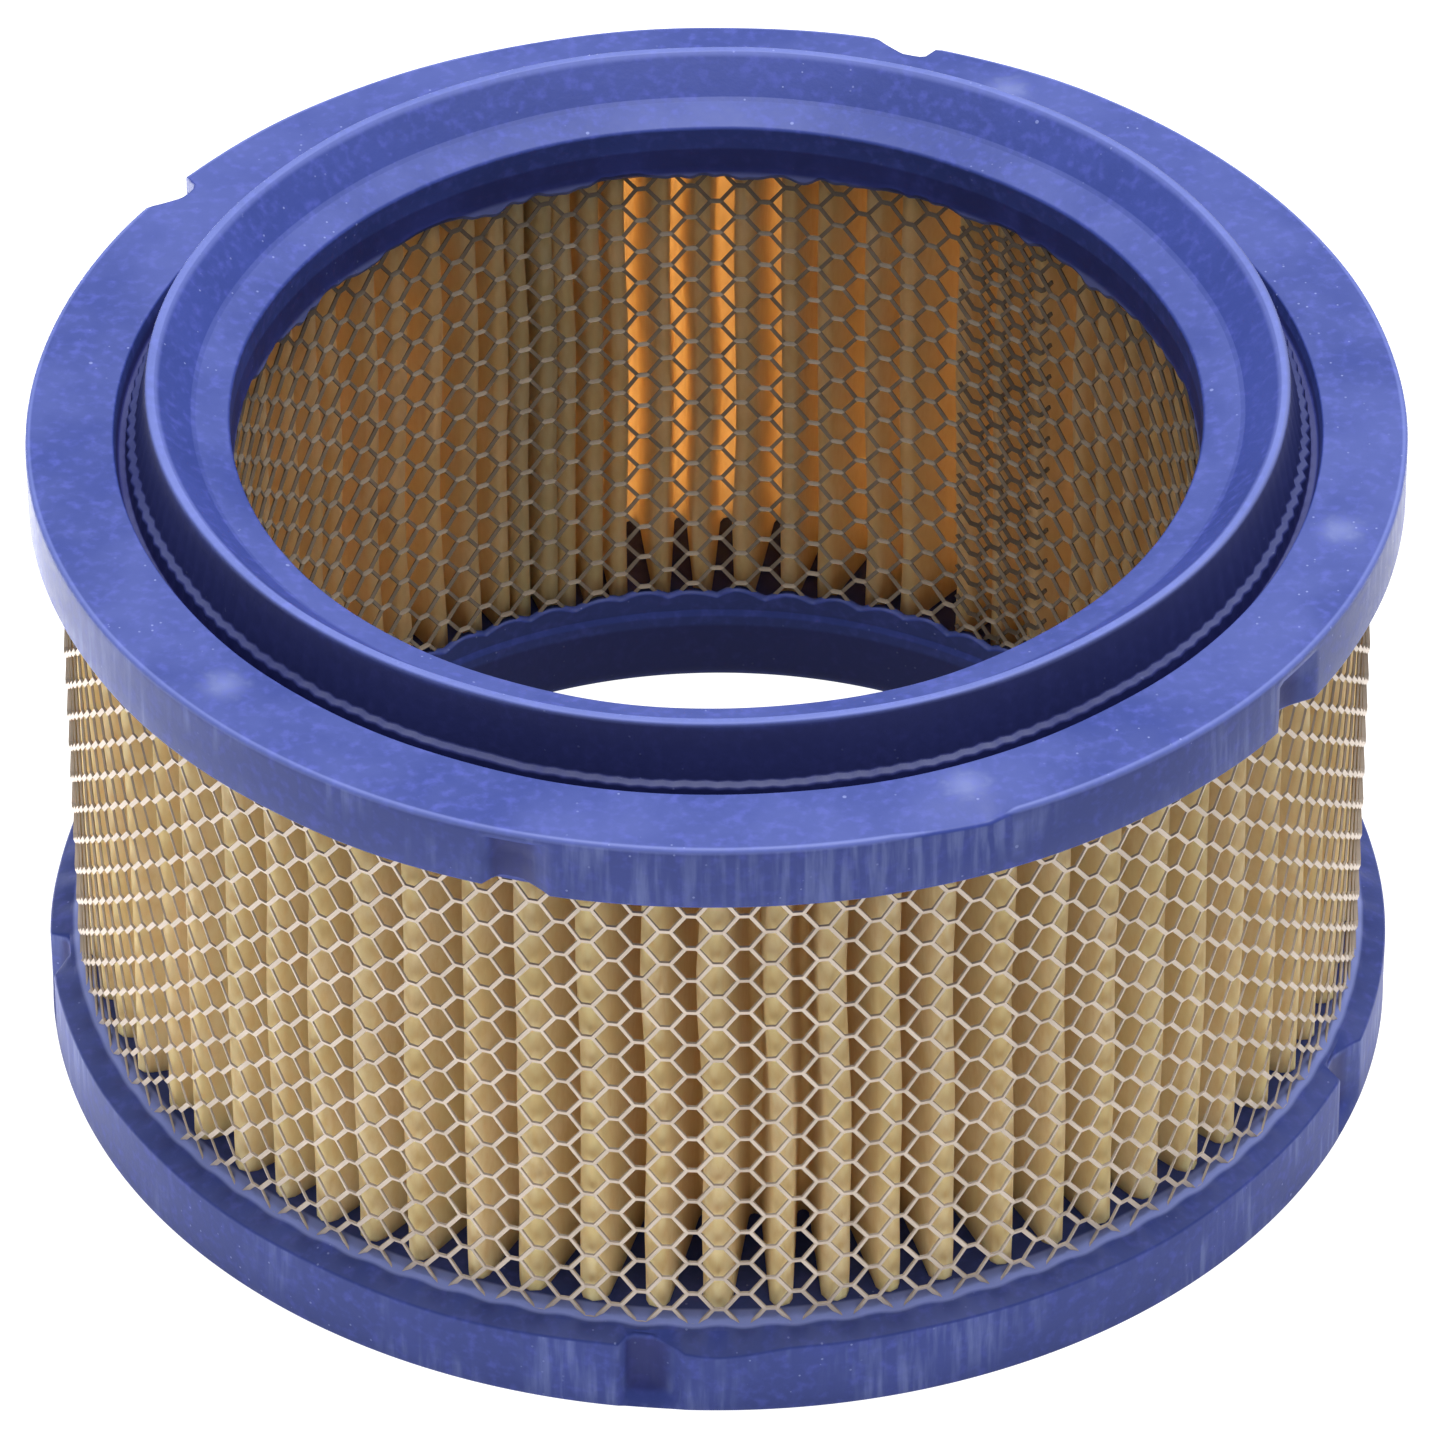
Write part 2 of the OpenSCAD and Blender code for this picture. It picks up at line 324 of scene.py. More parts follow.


# %% [markdown]
# ## Expanded metal
#
# The sleeves are thin tin-plated steel, slit and pulled open. The plating is bright and a little
# uneven, and the shear leaves a rough edge, so the strands look cream under soft light and not like
# mirrors. Dust settles in the corners, which the slow change of colour gives. The inner sleeve stands
# in its own shade, and that shade is painted into a darker copy of the finish, so there is one
# finish for each. The dust and the dull plating hide most of the metal, so Metallic is far below 1.

# %% Tinned steel
def tinned_steel(name, dark, light):
    material, tree, shader, place = new_material(name)
    patch = add_node(tree, "ShaderNodeTexNoise", {"Vector": place, "Scale": pattern_scale(5 * MM),
                                                  "Detail": 5}).outputs["Fac"]
    plating = paint_over(tree, linear(dark), light, 1, [(patch, 0.3, 0.7)])
    tree.links.new(plating, shader.inputs["Base Color"])
    shader.inputs["Metallic"].default_value = 0.3
    rough = add_node(tree, "ShaderNodeMapRange", {"Value": patch, "To Min": 0.48, "To Max": 0.68})
    tree.links.new(rough.outputs["Result"], shader.inputs["Roughness"])
    shear = add_node(tree, "ShaderNodeTexNoise", {"Vector": place, "Scale": pattern_scale(0.5 * MM),
                                                  "Detail": 2}).outputs["Fac"]
    bump = add_node(tree, "ShaderNodeBump", {"Strength": 0.2, "Distance": 0.05 * MM, "Height": shear})
    tree.links.new(bump.outputs["Normal"], shader.inputs["Normal"])
    return material


bright_steel = tinned_steel("tinned_expanded_steel_bright", "#A09387", "#B4A79B")
# painted shade: the inner sleeve's finish is a darker copy, for the shade that it stands in
shaded_steel = tinned_steel("tinned_expanded_steel_shaded", "#74685A", "#887B6C")
print(bright_steel.name, "and", shaded_steel.name, "have", len(shaded_steel.node_tree.nodes), "nodes each")


# %% [markdown]
# ## Resin-treated paper
#
# The paper is soaked in phenolic resin and cured, which turns it khaki and makes it let a warm,
# orange light through. That light is why the valleys between the folds glow. A Translucent shader
# mixed into the paper carries it. Its fibres are too fine to show, so they are drawn as a soft mottle
# nearly a millimetre across, drawn out along the folds.

# %% Filter paper
def filter_paper():
    material, tree, shader, place = new_material("phenolic_filter_paper")
    stretched = add_node(tree, "ShaderNodeMapping", {"Vector": place, "Scale": (1, 1, 0.45)})
    fibre = add_node(tree, "ShaderNodeTexNoise", {"Vector": stretched.outputs[0],
                                                  "Scale": pattern_scale(0.9 * MM),
                                                  "Detail": 6, "Roughness": 0.65}).outputs["Fac"]
    blotch = add_node(tree, "ShaderNodeTexNoise", {"Vector": place, "Scale": pattern_scale(9 * MM),
                                                   "Detail": 3}).outputs["Fac"]
    resin = paint_over(tree, linear("#DFE0AA"), "#E9EAC0", 1, [(blotch, 0.35, 0.65)])
    fibrous = paint_over(tree, resin, "#D7D198", 1, [(fibre, 0.35, 0.75)])
    tree.links.new(fibrous, shader.inputs["Base Color"])
    shader.inputs["Roughness"].default_value = 0.85
    shader.inputs["Sheen Weight"].default_value = 0.15
    bump = add_node(tree, "ShaderNodeBump", {"Strength": 0.4, "Distance": 0.12 * MM, "Height": fibre})
    tree.links.new(bump.outputs["Normal"], shader.inputs["Normal"])
    glow = add_node(tree, "ShaderNodeBsdfTranslucent", {"Color": linear("#FFD49E")})
    sheet = add_node(tree, "ShaderNodeMixShader",
                     {"Fac": 0.48, 1: shader.outputs[0], 2: glow.outputs[0]})
    tree.links.new(sheet.outputs[0], tree.nodes["Material Output"].inputs["Surface"])
    return material


paper = filter_paper()
print(paper.name, "has", len(paper.node_tree.nodes), "nodes")


# %% [markdown]
# ## Hot-melt adhesive
#
# The two ends of the paper strip are glued with a bead of hot melt, which sets to a cloudy cream.

# %% Hot melt
def hot_melt():
    material, tree, shader, place = new_material("hot_melt_adhesive")
    cloud = add_node(tree, "ShaderNodeTexNoise", {"Vector": place,
                                                  "Scale": pattern_scale(3 * MM)}).outputs["Fac"]
    cream = add_node(tree, "ShaderNodeMix", {0: cloud, 6: linear("#D9C79A"), 7: linear("#E8DCBC")},
                     data_type="RGBA").outputs[2]
    tree.links.new(cream, shader.inputs["Base Color"])
    shader.inputs["Roughness"].default_value = 0.35
    shader.inputs["Subsurface Weight"].default_value = 0.2
    shader.inputs["Subsurface Scale"].default_value = 1 * MM
    return material


adhesive = hot_melt()
print(adhesive.name, "has", len(adhesive.node_tree.nodes), "nodes")


# %% [markdown]
# ## An outline that is spun to a ring
#
# Each cap is a solid of revolution with small local faults. The outline is a list of corners, each
# with the radius of its rounding, and `rounded` puts an arc at every corner that has one. A full
# spin about Z gives the ring. It has enough steps for a notch 7 mm wide to keep its shape.

# %% Rounded outlines and rings
def rounded(corners, steps=4):
    """An outline with its corners rounded. A corner is (radius, height, rounding)."""
    outline = []
    for i, (radius, height, rounding) in enumerate(corners):
        corner = Vector((radius, height))
        if rounding == 0:
            outline.append(corner)
            continue
        before = (Vector(corners[i - 1][:2]) - corner).normalized()
        after = (Vector(corners[(i + 1) % len(corners)][:2]) - corner).normalized()
        half = before.angle(after) / 2
        centre = corner + (before + after).normalized() * rounding / math.sin(half)
        first = corner + before * rounding / math.tan(half) - centre
        last = corner + after * rounding / math.tan(half) - centre
        sweep = first.angle_signed(last)
        for step in range(steps + 1):
            turn = -sweep * step / steps
            outline.append(centre + Vector((first.x * math.cos(turn) - first.y * math.sin(turn),
                                            first.x * math.sin(turn) + first.y * math.cos(turn))))
    return outline


def spun_ring(outline, steps):
    ring = bmesh.new()
    points = [ring.verts.new(polar(point.x, 0, point.y)) for point in outline]
    edges = [ring.edges.new((points[i - 1], points[i])) for i in range(len(points))]
    bmesh.ops.spin(ring, geom=points + edges, cent=(0, 0, 0), axis=(0, 0, 1), dvec=(0, 0, 0),
                   angle=FULL_TURN, steps=steps, use_merge=True, use_duplicate=False)
    return ring


def move_ring(ring, moved):
    """Moves each point of a ring. moved takes and gives (radius, angle, height)."""
    for vert in ring.verts:
        radius, angle, height = moved(vert.co.xy.length, angle_of(vert.co), vert.co.z)
        vert.co = polar(radius, angle, height)


# %% [markdown]
# ## Faults that casting leaves
#
# The mould holds the element with small blocks at its rim, which leave notches. A notch has one
# steep wall and one that slopes out, as the element is twisted free of its mould. The surface is
# never quite true either, so a slow noise moves it by less than a tenth of a millimetre, which is
# enough to break up the highlights.

# %% Notches and unevenness
notch_half_w = 3.5 * MM
notch_depth = 2.1 * MM
cast_unevenness = 0.12 * MM
wave_size = 16 * MM


def notch_shift(angle, notch_angles):
    """How far the rim moves in at an angle, for the notches at these angles in degrees."""
    for notch_angle in notch_angles:
        across = rim_r * turned_from(angle, notch_angle) / notch_half_w
        if abs(across) < 1:
            return notch_depth * (1 - across ** 8 if across < 0 else (1 - across) ** 0.8)
    return 0


def unevenness(radius, angle, height, amount=cast_unevenness):
    return amount * noise.noise(polar(radius, angle, height) / wave_size)


# %% [markdown]
# ## The top end cap
#
# From the rim inwards the top cap has a flat flange, a narrow groove, the sealing lip with its
# sharp crest, a slope down to a ledge, and the wall of the hole. Where the vinyl ran under the lip
# of the mould it left a fine bead in the groove, and a ring of small ticks at the lip's foot.

# %% Top end cap
tick_count = 174
top_steps = 4 * tick_count
fill_low = flange_h - 5.8 * MM
# in degrees from the front; the front notches stop under the flange, the back ones pass through it
front_notches = (-16.2, 55)
back_notches = (163, -125)

top_outline = rounded([
    (rim_r, top_band_low, 0.3 * MM),
    (rim_r, top_band_low + 3 * MM, 0),
    (rim_r, flange_h - 1.5 * MM, 0),
    (rim_r, flange_h - 1.1 * MM, 0),
    (rim_r, flange_h, 0.5 * MM),
    (rim_r - 0.9 * MM, flange_h, 0),
    (rim_r - 3.4 * MM, flange_h, 0),
    (groove_out_r, flange_h, 0.3 * MM),
    (groove_out_r - 0.4 * MM, groove_floor, 0.4 * MM),
    (groove_in_r + 1.45 * MM, groove_floor, 0.2 * MM),
    (groove_in_r + 1.2 * MM, flange_h - 0.5 * MM, 0.4 * MM),
    (groove_in_r + 0.3 * MM, flange_h - 0.2 * MM, 0.3 * MM),
    (crest_out_r, crest_h, 0.3 * MM),
    (crest_in_r + 0.3 * MM, crest_h, 0.3 * MM),
    (upper_bore_r + 4.2 * MM, flange_h + 2.7 * MM, 0.3 * MM),
    (upper_bore_r + 3.7 * MM, flange_h + 2.4 * MM, 0.3 * MM),
    (upper_bore_r, flange_h + 1.4 * MM, 0.5 * MM),
    (upper_bore_r, flange_h - 3.6 * MM, 0),
    (upper_bore_r - 0.25 * MM, flange_h - 4.1 * MM, 0.15 * MM),
    (upper_bore_r, flange_h - 4.6 * MM, 0.1 * MM),
    (inner_mesh_r + 0.5 * MM, fill_low, 0),
    (outer_mesh_r - 0.5 * MM, fill_low, 0),
    (outer_mesh_r + 0.4 * MM, top_band_low - 0.9 * MM, 0.3 * MM),
])


def top_cap_faults(radius, angle, height):
    # ticks at the lip's foot, and a ragged bead of flash in the groove
    if groove_in_r - 0.3 * MM < radius < groove_in_r + 1.4 * MM and height < flange_h:
        strength = 0.5 + 0.5 * noise.noise(polar(0.03, angle) / (8 * MM))
        radius += 0.3 * MM * strength * math.cos(angle * tick_count)
        height += 0.2 * MM * noise.noise(polar(0.06, angle) / (5 * MM))
    # the lip isn't quite round, and stands further out on the right
    if groove_floor - 0.1 * MM < height and upper_bore_r + 3 * MM < radius < rim_r - 3 * MM:
        radius += 0.35 * MM * max(math.sin(angle), 0)
    if radius > rim_r - 2 * MM:
        if height < flange_h - 1.3 * MM:
            radius -= notch_shift(angle, front_notches)
        radius -= notch_shift(angle, back_notches)
        # one air pocket left a dip in the flange's edge, which deepens slowly and ends sharply
        along = turned_from(angle, 14) / math.radians(10.5)
        if 0 < along < 1 and height > flange_h - 2 * MM:
            dip = min(along / 0.8, (1 - along) / 0.2)
            height -= 1.1 * MM * dip
            radius -= 0.4 * MM * dip
    # thin flash ran down the inner mesh and ends in a ragged edge
    if radius < inner_mesh_r and fill_low < height < flange_h - 3.8 * MM:
        coarse = noise.noise(polar(0.05, angle) / (7 * MM))
        fine = noise.noise(polar(0.05, angle, 1) / (2 * MM))
        height -= max(0.6 * MM + 1.4 * MM * coarse + 0.8 * MM * fine, 0)
    return (radius + unevenness(radius, angle, height), angle,
            height + unevenness(radius, angle, height + 1))


top_ring = spun_ring(top_outline, top_steps)
move_ring(top_ring, top_cap_faults)
finish_piece("top_end_cap_cast", top_ring, vinyl, "top_end_cap")


# %% [markdown]
# ## The bottom end cap
#
# The bottom cap is flat below and rounded into the hole. While it was liquid, the vinyl crept up
# both sleeves. On the inside it climbs a few millimetres and ends in a scalloped edge, one scallop
# to a diamond of the mesh. On the outside each diamond ends in a small crescent of vinyl.

# %% Bottom end cap
outer_columns = 81
inner_columns = 60
bottom_steps = 8 * outer_columns
bottom_fill_h = 11 * MM
bottom_notches = (-84, -5.5, 69)

bottom_outline = rounded([
    (lower_bore_r, 9.6 * MM, 0.7 * MM),
    (lower_bore_r, 0, 2.4 * MM),
    (rim_r - 5 * MM, 0, 0),
    (rim_r, 0, 0.4 * MM),
    (rim_r, 1.2 * MM, 0),
    (rim_r, 2.4 * MM, 0),
    (rim_r, 5 * MM, 0),
    (rim_r, bottom_band_h, 0.4 * MM),
    (outer_mesh_r + 1.2 * MM, bottom_band_h + 0.7 * MM, 0.3 * MM),
    (outer_mesh_r + 0.3 * MM, bottom_band_h + 1.1 * MM, 0),
    (outer_mesh_r - 0.6 * MM, bottom_fill_h, 0),
    (inner_mesh_r + 0.8 * MM, bottom_fill_h, 0),
    (inner_mesh_r + 0.1 * MM, 12.6 * MM, 0),
    (inner_mesh_r - 0.6 * MM, 12.2 * MM, 0.2 * MM),
    (inner_mesh_r - 0.5 * MM, 10.3 * MM, 0.4 * MM),
])


def bottom_cap_faults(radius, angle, height):
    # the scallops on the inner mesh, and the crescents under the outer mesh's lowest diamonds
    if height > 11.5 * MM:
        height += 0.9 * MM * abs(math.sin(angle * inner_columns / 2)) - 0.3 * MM
        height += 0.5 * MM * noise.noise(polar(0.05, angle) / (4 * MM))
    near_mesh = bump_at(radius - (outer_mesh_r + 0.7 * MM), 0.8 * MM)
    if bottom_band_h - 0.6 * MM < height < bottom_band_h + 1.3 * MM:
        height += 0.45 * MM * near_mesh * math.cos(angle * outer_columns)
    # the band's upper edge wanders, and sags most beside the front notch
    if radius > rim_r - 1.2 * MM and height > 7 * MM:
        height += 0.5 * MM * noise.noise(polar(0.09, angle) / (22 * MM))
        height -= 1.2 * MM * bump_at(turned_from(angle, 0), math.radians(7))
    # the notches are pockets that stop short of the underside
    if radius > rim_r - 2 * MM:
        radius -= notch_shift(angle, bottom_notches) * (1 - bump_at(height - 0.4 * MM, 1.6 * MM))
    # the underside was level in the mould, and stays flat
    amount = cast_unevenness if height > 2 * MM else 0
    return (radius + unevenness(radius, angle, height, amount), angle,
            height + unevenness(radius, angle, height + 2, amount))


bottom_ring = spun_ring(bottom_outline, bottom_steps)
move_ring(bottom_ring, bottom_cap_faults)
finish_piece("bottom_end_cap_cast", bottom_ring, vinyl, "bottom_end_cap")


# %% [markdown]
# ## Expanded metal, one cell at a time
#
# Expanded metal is one sheet, slit in staggered rows and pulled open. Each slit becomes a diamond,
# and what is left between two slits is a bond, a little wider than it is high. Four strands leave
# each bond, and the pull tilts it, so its upper edge stands forward and its lower edge back. One
# bond and the two strands above it, with the next bond half a diamond away, make a cell. Copies of
# the cell give a flat sheet, which is cut to length, rolled, and given its thickness by Solidify.

# %% One sheet of expanded metal
diamond_h = 4.32 * MM
bond_half_w = 0.85 * MM
bond_flat_w = 0.5 * MM
bond_half_h = 0.35 * MM
bond_tilt = 0.2 * MM
strip_t = 0.24 * MM


def add_bond(sheet, x, z, diamond_w, weight):
    """One bond and the two strands that leave its upper edge. Y is how far it stands forward."""
    def corner(side, right, level, at_x=x, at_z=z):
        return sheet.verts.new((at_x + right * side, -level * bond_tilt,
                                at_z + level * bond_half_h * weight))

    top_left, top_right = corner(bond_flat_w, -1, 1), corner(bond_flat_w, 1, 1)
    left, right = corner(bond_half_w, -1, 0), corner(bond_half_w, 1, 0)
    low_left, low_right = corner(bond_flat_w, -1, -1), corner(bond_flat_w, 1, -1)
    sheet.faces.new((left, right, top_right, top_left))
    sheet.faces.new((low_left, low_right, right, left))
    for way, start_top, start_side in ((1, top_right, right), (-1, top_left, left)):
        next_x, next_z = x + way * diamond_w / 2, z + diamond_h / 2
        end_side = corner(bond_half_w, -way, 0, next_x, next_z)
        end_low = corner(bond_flat_w, -way, -1, next_x, next_z)
        sheet.faces.new((start_top, start_side, end_low, end_side)[::way])


def repeat(sheet, count, step):
    """Makes copies of everything in the sheet, each one step further on."""
    first = sheet.verts[:] + sheet.edges[:] + sheet.faces[:]
    for number in range(1, count):
        copied = bmesh.ops.duplicate(sheet, geom=first)["geom"]
        moved = [item for item in copied if isinstance(item, bmesh.types.BMVert)]
        bmesh.ops.translate(sheet, verts=moved, vec=Vector(step) * number)
    bmesh.ops.remove_doubles(sheet, verts=sheet.verts, dist=0.01 * MM)


def expanded_sheet(columns, diamond_w, low, high, weight, rise=0.0):
    """A flat sheet in the XZ plane, its left edge at X 0, cut off level at both ends."""
    sheet = bmesh.new()
    start = low - diamond_h + rise
    add_bond(sheet, 0, start, diamond_w, weight)
    add_bond(sheet, diamond_w / 2, start + diamond_h / 2, diamond_w, weight)
    repeat(sheet, columns, (diamond_w, 0, 0))
    repeat(sheet, math.ceil((high - low) / diamond_h) + 2, (0, 0, diamond_h))
    for height, side in ((low, -1), (high, 1)):
        bmesh.ops.bisect_plane(sheet, geom=sheet.verts[:] + sheet.edges[:] + sheet.faces[:],
                               dist=0.001 * MM, plane_co=(0, 0, height), plane_no=(0, 0, side),
                               clear_outer=True)
    return sheet


def roll(sheet, radius, start_angle=0.0, forward=-1):
    """Rolls a flat sheet round the axis. forward is -1 where the sheet's front faces outwards."""
    for vert in sheet.verts:
        angle = start_angle + vert.co.x / radius
        vert.co = polar(radius + forward * vert.co.y, angle, vert.co.z)


# %% [markdown]
# ## The two sleeves
#
# A sleeve's ends overlap by a diamond and a half. The second layer never falls in step with the
# first, so the lap shows as a denser, darker stripe. It is rolled as a sheet of its own and joined
# to the same piece, because it is the same strip of metal. The inner sleeve's strands are half as
# heavy as the outer one's, whose weight is 1.

# %% Inner and outer sleeves
lap_columns = 2
lap_gap = 0.45 * MM
lap_rise = 0.37 * diamond_h


def sleeve(name, node, material, radius, columns, lap_degrees, weight):
    diamond_w = FULL_TURN * radius / columns
    tube = expanded_sheet(columns, diamond_w, sleeve_low, sleeve_high, weight)
    roll(tube, radius)
    lap = expanded_sheet(lap_columns, diamond_w, sleeve_low, sleeve_high, weight, rise=lap_rise)
    lap_r = radius + lap_gap
    roll(lap, lap_r, math.radians(lap_degrees) - lap_columns * diamond_w / (2 * lap_r))
    lap_mesh = bpy.data.meshes.new("lap")
    lap.to_mesh(lap_mesh)
    lap.free()
    tube.from_mesh(lap_mesh)
    bpy.data.meshes.remove(lap_mesh)
    piece = finish_piece(name, tube, material, node)
    piece.data.shade_flat()
    thickness = piece.modifiers.new("strip thickness", "SOLIDIFY")
    thickness.thickness = strip_t
    thickness.offset = 0


sleeve("inner_expanded_sleeve", "inner_screen", shaded_steel, inner_mesh_r, inner_columns,
       lap_degrees=144, weight=0.5)
sleeve("outer_expanded_sleeve", "outer_screen", bright_steel, outer_mesh_r, outer_columns,
       lap_degrees=172, weight=1)


# %% [markdown]
# ## The folded paper
#
# The paper is one strip in 70 folds. The folds aren't even: they bunch up where the strip's ends are
# glued, each tip wanders a little, and all lean one way, as the ring was closed by twisting it. The
# fold line is laid out as a chain of small arcs joined by straight panels, drawn up to the strip's
# width in a few lifts with a little sway, and Solidify gives it the paper's thickness.

# %% Where the folds are
pleat_count = 70
joint_degrees = -161
paper_t = 0.5 * MM
tip_fold_r = 1.25 * MM
dip_fold_r = 0.9 * MM
tip_centre_r = outer_mesh_r - 0.75 * MM - paper_t / 2 - tip_fold_r
dip_centre_r = inner_mesh_r + 1.1 * MM + paper_t / 2 + dip_fold_r
draw = random.Random(7)


def pleat_angles():
    """The angle of each outer tip from the joint, from 0 to a full turn."""
    widths = []
    for number in range(pleat_count):
        from_joint = min(number, pleat_count - 1 - number)
        widths.append(1 - 0.45 * math.exp(-(from_joint / 3.5) ** 2) + draw.uniform(-0.13, 0.13))
    angles = [0]
    for width in widths:
        angles.append(angles[-1] + FULL_TURN * width / sum(widths))
    return angles


tip_angles = pleat_angles()
steps_apart = [math.degrees(b - a) for a, b in zip(tip_angles, tip_angles[1:])]
print(f"Pleats are {min(steps_apart):.2f} to {max(steps_apart):.2f} degrees apart")

# %% The fold line
fold_steps = 4
fold_reach = math.radians(84)
lean = 0.2


def fold_arc(centre_r, angle, fold_r, outward):
    """Points round one fold, from the side of lower angles to the other."""
    points = []
    for step in range(fold_steps + 1):
        turn = -fold_reach + 2 * fold_reach * step / fold_steps
        along = math.cos(turn) * outward
        points.append((centre_r + fold_r * along, angle + fold_r * math.sin(turn) / centre_r))
    return points


def fold_line():
    """(radius, angle from the joint) along the paper, from end to end."""
    line = fold_arc(tip_centre_r, 0, tip_fold_r, 1)[fold_steps:]
    for number in range(pleat_count):
        width = tip_angles[number + 1] - tip_angles[number]
        dip_angle = tip_angles[number] + width * (0.5 + lean + draw.uniform(-0.16, 0.16))
        line += fold_arc(dip_centre_r, dip_angle, dip_fold_r * draw.uniform(0.8, 1.05), -1)
        fatness = draw.uniform(0.75, 1.1)
        tip_r = tip_centre_r + tip_fold_r * (1 - fatness) - draw.uniform(0, 0.3) * MM
        tip = fold_arc(tip_r, tip_angles[number + 1], tip_fold_r * fatness, 1)
        line += tip if number < pleat_count - 1 else tip[:1]
    return line


# %% [markdown]
# The strip is drawn up by extruding its edge again and again. Each lift is a few millimetres, and
# the sway between lifts is slow noise, so neighbouring folds lean together as real ones do.

# %% The pleated strip
paper_lifts = 12
paper_low, paper_high = (corner.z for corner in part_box("pleated_media"))


def pleated_strip():
    strip = bmesh.new()
    line = [strip.verts.new(polar(radius, math.radians(joint_degrees) + angle, paper_low))
            for radius, angle in fold_line()]
    edges = [strip.edges.new(pair) for pair in zip(line, line[1:])]
    lift = (paper_high - paper_low) / paper_lifts
    for number in range(paper_lifts):
        grown = bmesh.ops.extrude_edge_only(strip, edges=edges)["geom"]
        verts = [item for item in grown if isinstance(item, bmesh.types.BMVert)]
        edges = [item for item in grown if isinstance(item, bmesh.types.BMEdge)]
        bmesh.ops.translate(strip, verts=verts, vec=(0, 0, lift))
        edges = [edge for edge in edges if abs(edge.verts[0].co.z - edge.verts[1].co.z) < lift / 2]
    for vert in strip.verts:
        held = min(vert.co.z - paper_low, paper_high - vert.co.z) / (paper_high - paper_low)
        sway = 0.9 * MM * min(4 * held, 1) * noise.noise(vert.co / (22 * MM))
        vert.co = polar(vert.co.xy.length, angle_of(vert.co) + sway / vert.co.xy.length, vert.co.z)
    return strip


folded_paper = finish_piece("pleated_filter_paper", pleated_strip(), paper, "pleated_media")
paper_thickness = folded_paper.modifiers.new("paper thickness", "SOLIDIFY")
paper_thickness.thickness = paper_t
paper_thickness.offset = 0

# %% [markdown]
# ## The adhesive bead
#
# The bead fills the fold where the strip's ends meet. It is a slim block, tapered inwards like the
# fold that it fills, with its long edges rounded by a bevel.

# %% Adhesive bead
bead_depth = 6 * MM


def adhesive_bead():
    bead = bmesh.new()
    bmesh.ops.create_cube(bead, size=1)
    long_edges = [edge for edge in bead.edges if edge.verts[0].co.xy == edge.verts[1].co.xy]
    bmesh.ops.bevel(bead, geom=long_edges, offset=0.2, segments=3, profile=0.5, affect="EDGES",
                    material=-1)
    outer_r = tip_centre_r + tip_fold_r * 0.1
    for vert in bead.verts:
        inward = 0.5 - vert.co.y
        half_w = (dip_fold_r - paper_t / 2) * (1.0 + 0.45 * inward)
        radius = outer_r - bead_depth * inward
        vert.co = polar(radius, math.radians(joint_degrees) + 2 * vert.co.x * half_w / radius,
                        paper_low + (vert.co.z + 0.5) * (paper_high - paper_low))
    return bead


finish_piece("joint_adhesive_bead", adhesive_bead(), adhesive, "media_joint_bead")


# %% [markdown]
# ## Floor, light and camera
#
# The element stands on a pale light table. A wide softbox hangs over it, so everything that faces
# up is bright, while the bands and the lip's outer wall fall into a deep blue. The table glows most
# behind the element: that light goes through the paper and warms the core. It is seen as one even
# white, and from below it is clear, so that the underside can be looked at. The table lies a hair
# below the element, because two faces in one plane flicker. The camera is far away with a long
# lens, looking down at 38 degrees.

# %% Floor and room
floor_half_w = 4
floor_gap = 0.05 * MM
table_seen, table_rest = 1.1, 0.3
table_front, table_back = 1.7, 5.6
table_left, table_right = 1.45, 0.75
room_seen, room_light = 1.0, 0.42


def seen_and_lighting(tree, seen, lighting):
    """One strength where the floor or room is looked at, and another for the light that it gives."""
    looked_at = add_node(tree, "ShaderNodeLightPath").outputs["Is Camera Ray"]
    return add_node(tree, "ShaderNodeMapRange", {"Value": looked_at, "To Min": lighting,
                                                 "To Max": seen}).outputs["Result"]


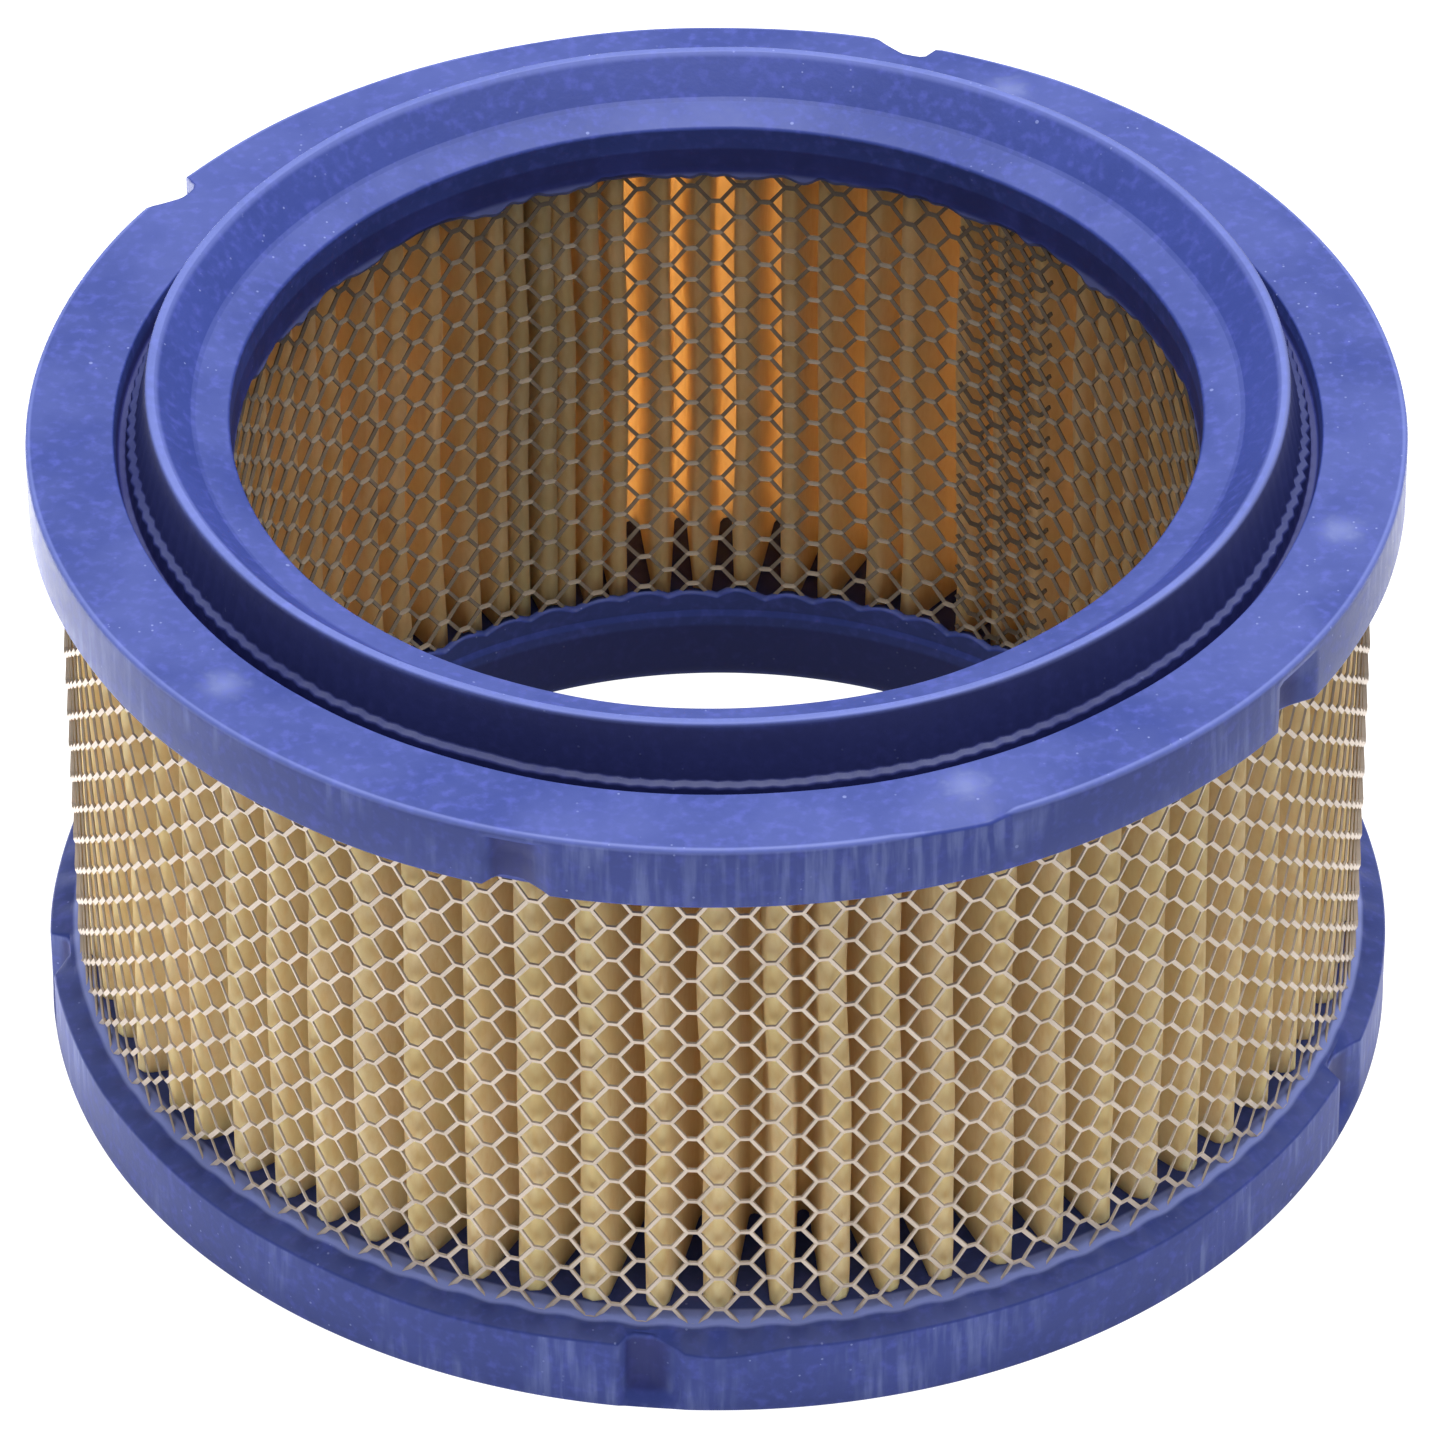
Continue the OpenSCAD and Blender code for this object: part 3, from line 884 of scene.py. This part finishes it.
def studio_floor():
    floor_mesh = bmesh.new()
    bmesh.ops.create_grid(floor_mesh, x_segments=1, y_segments=1, size=floor_half_w)
    bmesh.ops.translate(floor_mesh, verts=floor_mesh.verts, vec=(0, 0, -floor_gap))
    mesh = bpy.data.meshes.new("studio_floor")
    floor_mesh.to_mesh(mesh)
    floor_mesh.free()
    material, tree, shader, place = new_material("pale_light_table")
    shader.inputs["Base Color"].default_value = linear("#6E6E6E")
    shader.inputs["Roughness"].default_value = 0.9
    shader.inputs["Emission Color"].default_value = linear("#FFFFFF")

    # the light grows from front to back and from right to left, in a ring round the element
    along = add_node(tree, "ShaderNodeSeparateXYZ", {"Vector": place})
    depth_light = add_node(tree, "ShaderNodeMapRange", {
        "Value": along.outputs["Y"], "From Min": -0.05, "From Max": 0.1,
        "To Min": table_front, "To Max": table_back}).outputs["Result"]
    side_light = add_node(tree, "ShaderNodeMapRange", {
        "Value": along.outputs["X"], "From Min": -0.15, "From Max": 0.15,
        "To Min": table_left, "To Max": table_right}).outputs["Result"]
    away = add_node(tree, "ShaderNodeVectorMath", {0: place}, operation="LENGTH").outputs[1]
    lit_ring = where(tree, [(away, 0.06, 0.09), (away, 0.42, 0.28)])
    table = add_node(tree, "ShaderNodeMath", {0: depth_light, 1: side_light}, operation="MULTIPLY")
    glow = add_node(tree, "ShaderNodeMath", {0: table.outputs[0], 1: lit_ring, 2: table_rest},
                    operation="MULTIPLY_ADD")
    strength = seen_and_lighting(tree, table_seen, glow.outputs[0])
    tree.links.new(strength, shader.inputs["Emission Strength"])

    from_below = add_node(tree, "ShaderNodeNewGeometry").outputs["Backfacing"]
    clear = add_node(tree, "ShaderNodeBsdfTransparent")
    surface = add_node(tree, "ShaderNodeMixShader",
                       {"Fac": from_below, 1: shader.outputs[0], 2: clear.outputs[0]})
    tree.links.new(surface.outputs[0], tree.nodes["Material Output"].inputs["Surface"])
    mesh.materials.append(material)
    floor = bpy.data.objects.new("studio_floor", mesh)
    bpy.context.scene.collection.objects.link(floor)


studio_floor()

world = bpy.data.worlds.new("pale_room")
world.use_nodes = True
room = world.node_tree
walls = room.nodes["Background"]
walls.inputs["Color"].default_value = linear("#FFFFFF")
room.links.new(seen_and_lighting(room, room_seen, room_light), walls.inputs["Strength"])
bpy.context.scene.world = world

# %% Lights
def softbox(name, place, aim, size, power):
    light = bpy.data.lights.new(name, "AREA")
    light.shape = "SQUARE"
    light.size = size
    light.energy = power
    lamp = bpy.data.objects.new(name, light)
    lamp.location = place
    lamp.rotation_euler = (Vector(aim) - Vector(place)).to_track_quat("-Z", "Y").to_euler()
    bpy.context.scene.collection.objects.link(lamp)
    print(f"{name}: {size} m wide, {power} W")


middle = Vector((0, 0, flange_h / 2))
softbox("overhead_softbox", place=(0.06, 0.1, 1.45), aim=middle, size=0.7, power=41)

# %% Camera
camera_distance = 1.201
camera_elevation = math.radians(38.17)
camera_roll = math.radians(0.18)
aim = Vector((0.0003, 0, flange_h - 0.04175))
camera_data = bpy.data.cameras.new("catalogue_camera")
camera_data.lens = 271.3
camera_data.sensor_width = 36
camera_data.clip_end = 20
camera = bpy.data.objects.new("catalogue_camera", camera_data)
back = Vector((0, -math.cos(camera_elevation), math.sin(camera_elevation)))
camera.location = aim + camera_distance * back
camera.rotation_euler = back.to_track_quat("Z", "Y").to_euler()
camera.rotation_euler.rotate_axis("Z", -camera_roll)
bpy.context.scene.collection.objects.link(camera)
bpy.context.scene.camera = camera
bpy.context.scene.view_settings.view_transform = "Standard"
print(f"Camera: {camera_distance} m away, {camera_data.lens:.1f} mm lens")
